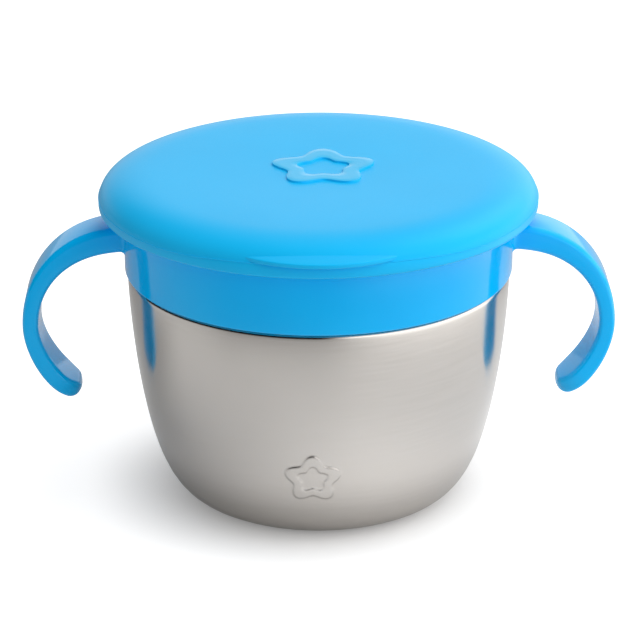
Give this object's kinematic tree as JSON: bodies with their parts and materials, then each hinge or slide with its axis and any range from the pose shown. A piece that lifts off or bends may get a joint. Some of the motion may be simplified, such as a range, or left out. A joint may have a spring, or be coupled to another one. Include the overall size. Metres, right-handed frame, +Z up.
{
  "type": "toddler snack container",
  "caption": "Round-bottomed steel snack bowl with a screw-on collar, hook handles at both sides, soft bending flaps in its mouth and a soft overcap lid with a finger tab.",
  "frame": {"origin": "on the table under the middle of the bowl's foot", "axes": "+Z up through the bowl and lid, +X through the right handle, -Y towards the lid's finger tab"},
  "size_m": [0.1394, 0.1043, 0.0785],
  "materials": {
    "steel": "drawn stainless steel with a fine brushed satin finish",
    "collar": "moulded polypropylene, satin gloss",
    "insert": "soft matte elastomer",
    "seal": "milky silicone",
    "lid": "soft polyethylene, silky matte"
  },
  "bodies": {
    "bowl": {"bowl": "steel"},
    "seal": {"seal_ring": "seal"},
    "insert": {"flap_rim": "insert"},
    "flap_front": {"flap_front": "insert"},
    "flap_right": {"flap_right": "insert"},
    "flap_back": {"flap_back": "insert"},
    "flap_left": {"flap_left": "insert"},
    "collar": {"collar": "collar"},
    "lid": {"lid": "lid"}
  },
  "joints": [
    {"name": "collar_lift", "type": "slide", "parent": "bowl", "child": "seal", "axis": [0, 0, 1], "range_m": [0, 0.05]},
    {"name": "collar_rise", "type": "slide", "parent": "seal", "child": "insert", "axis": [0, 0, 1], "range_m": [0, 0.005]},
    {"name": "collar_turn", "type": "hinge", "parent": "insert", "child": "collar", "pos_m": [0, 0, 0.0655], "axis": [0, 0, 1], "range_deg": [0, 450]},
    {"name": "flap_front_bend", "type": "hinge", "parent": "insert", "child": "flap_front", "pos_m": [0, -0.02192, 0.07185], "axis": [-1, 0, 0], "range_deg": [0, 70], "stiffness_Nm_per_rad": 0.015},
    {"name": "flap_right_bend", "type": "hinge", "parent": "insert", "child": "flap_right", "pos_m": [0.02192, 0, 0.07185], "axis": [0, -1, 0], "range_deg": [0, 70], "stiffness_Nm_per_rad": 0.015},
    {"name": "flap_back_bend", "type": "hinge", "parent": "insert", "child": "flap_back", "pos_m": [0, 0.02192, 0.07185], "axis": [1, 0, 0], "range_deg": [0, 70], "stiffness_Nm_per_rad": 0.015},
    {"name": "flap_left_bend", "type": "hinge", "parent": "insert", "child": "flap_left", "pos_m": [-0.02192, 0, 0.07185], "axis": [0, 1, 0], "range_deg": [0, 70], "stiffness_Nm_per_rad": 0.015},
    {"name": "lid_lift", "type": "slide", "parent": "collar", "child": "lid", "axis": [0, 0, 1], "range_m": [0, 0.04]}
  ],
  "couplings": [
    {"joint": "collar_rise", "follows": "collar_turn", "m_per_rad": 0.0006366}
  ]
}
